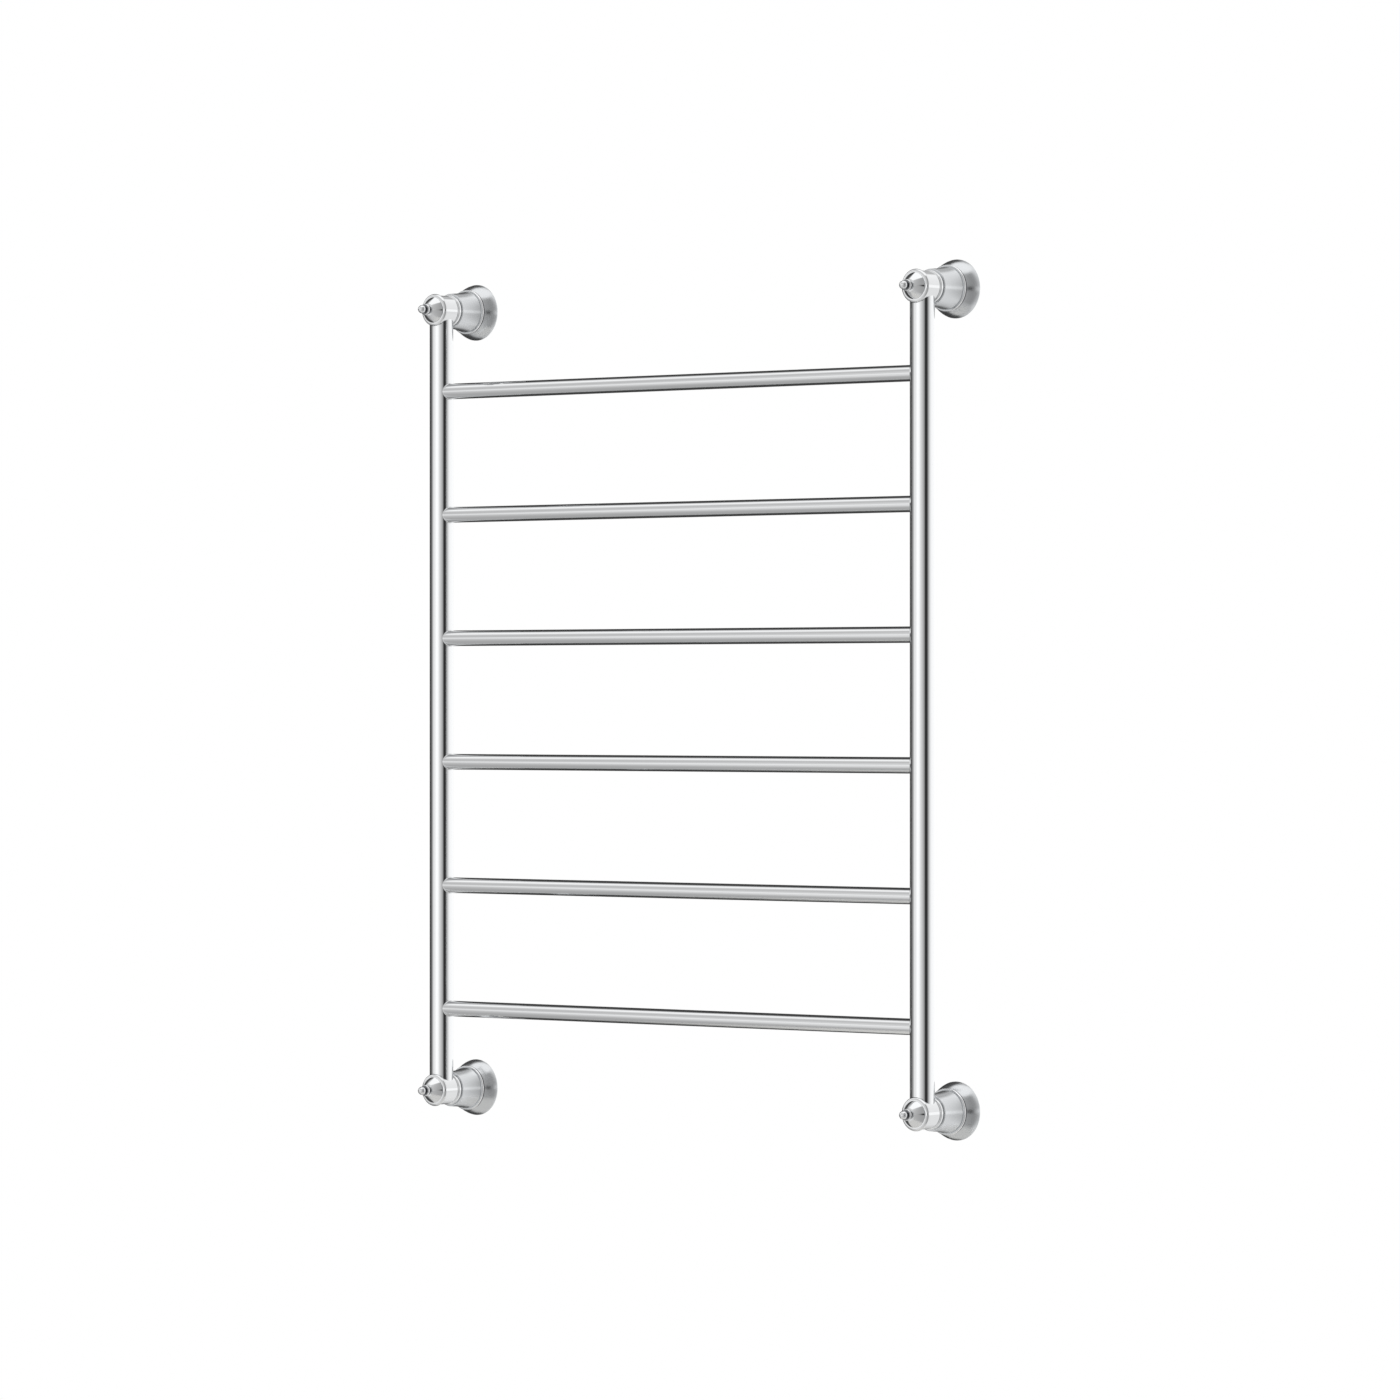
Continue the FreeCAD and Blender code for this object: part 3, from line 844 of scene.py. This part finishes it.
    def floor(self, scene, settings):
        skin = Skin()
        radius = settings.floor_radius / MM
        angles = [math.tau * j / FLOOR_SIDES for j in range(FLOOR_SIDES)]
        rows = [[(radius * share * math.cos(a), radius * share * math.sin(a), 0.0) for a in angles]
                for share in self.floor_rings]
        skin.grid(rows, [[(0, 0, 1)] * FLOOR_SIDES] * len(rows), closed=True)
        material, tree, shader, where = new_material("matt_painted_board")
        shader.inputs["Base Color"].default_value = settings.floor_colour
        shader.inputs["Roughness"].default_value = self.floor_roughness
        grain = add(tree, "TexNoise", {"Vector": where, "Scale": per_mm(self.floor_grain),
                                       "Detail": 4.0})
        bump = add(tree, "Bump", {"Height": grain.outputs["Fac"],
                                  "Distance": self.floor_grain_depth * MM})
        tree.links.new(bump.outputs["Normal"], shader.inputs["Normal"])
        away = add(tree, "VectorMath", {0: where}, operation="LENGTH").outputs["Value"]
        start, end = (settings.floor_radius * share for share in self.floor_fade)
        fade = add(tree, "MapRange", {"Value": away, "From Min": start, "From Max": end,
                                      "To Min": 1.0, "To Max": 0.0},
                   interpolation_type="SMOOTHSTEP")
        tree.links.new(fade.outputs[0], shader.inputs["Alpha"])
        mesh = bpy.data.meshes.new("floor")
        mesh.from_pydata(skin.points, [], skin.faces)
        mesh.materials.append(material)
        board = bpy.data.objects.new("floor", mesh)
        board.location.z = settings.floor_height
        scene.collection.objects.link(board)

    def camera(self, scene, settings):
        lens = bpy.data.cameras.new("view")
        lens.lens = settings.focal_length
        lens.sensor_width = 36.0
        lens.clip_end = 100.0
        eye = bpy.data.objects.new("view", lens)
        scene.collection.objects.link(eye)
        a = settings.azimuth
        back = Vector((math.sin(a), -math.cos(a), 0))
        right = Vector((math.cos(a), math.sin(a), 0))
        centre = Vector((0, middle("post_left").y, 0))
        eye.location = centre + back * settings.distance + right * settings.aside
        eye.rotation_euler = (-back).to_track_quat("-Z", "Y").to_euler()
        scene.camera = eye

    def execute(self, context):
        scene = context.scene
        settings = scene.rack_stage
        self.studio(scene)
        self.floor(scene, settings)
        self.camera(scene, settings)
        scene.view_settings.view_transform = "Standard"
        return {"FINISHED"}


class RACK_PT_panel(bpy.types.Panel):
    bl_label = "Heated towel rack"
    bl_idname = "RACK_PT_panel"
    bl_space_type = "VIEW_3D"
    bl_region_type = "UI"
    bl_category = "Towel Rack"

    def draw(self, context):
        for group in GROUPS:
            box = self.layout.box()
            settings = getattr(context.scene, group)
            for name in settings.__annotations__:
                box.prop(settings, name)
        for operator in BUILDERS:
            self.layout.operator(operator.bl_idname)


GROUPS = {"rack_tubes": TubeSizes, "rack_chrome": ChromeFinish, "rack_stage": StageSettings}
BUILDERS = (RACK_OT_stage, RACK_OT_posts, RACK_OT_rails, RACK_OT_fillets, RACK_OT_tees,
            RACK_OT_finials, RACK_OT_covers, RACK_OT_wall_fixings, RACK_OT_heating)
CLASSES = (*GROUPS.values(), *BUILDERS, RACK_PT_panel)


def register():
    for c in CLASSES:
        bpy.utils.register_class(c)
    for name, group in GROUPS.items():
        setattr(bpy.types.Scene, name, PointerProperty(type=group))


def unregister():
    for name in GROUPS:
        delattr(bpy.types.Scene, name)
    for c in reversed(CLASSES):
        bpy.utils.unregister_class(c)


def main():
    register()
    bpy.ops.rack.stage()
    bpy.ops.rack.posts()
    bpy.ops.rack.rails()
    bpy.ops.rack.fillets()
    bpy.ops.rack.tees()
    bpy.ops.rack.finials()
    bpy.ops.rack.covers()
    bpy.ops.rack.wall_fixings()
    bpy.ops.rack.heating()


if __name__ == "__main__":
    main()
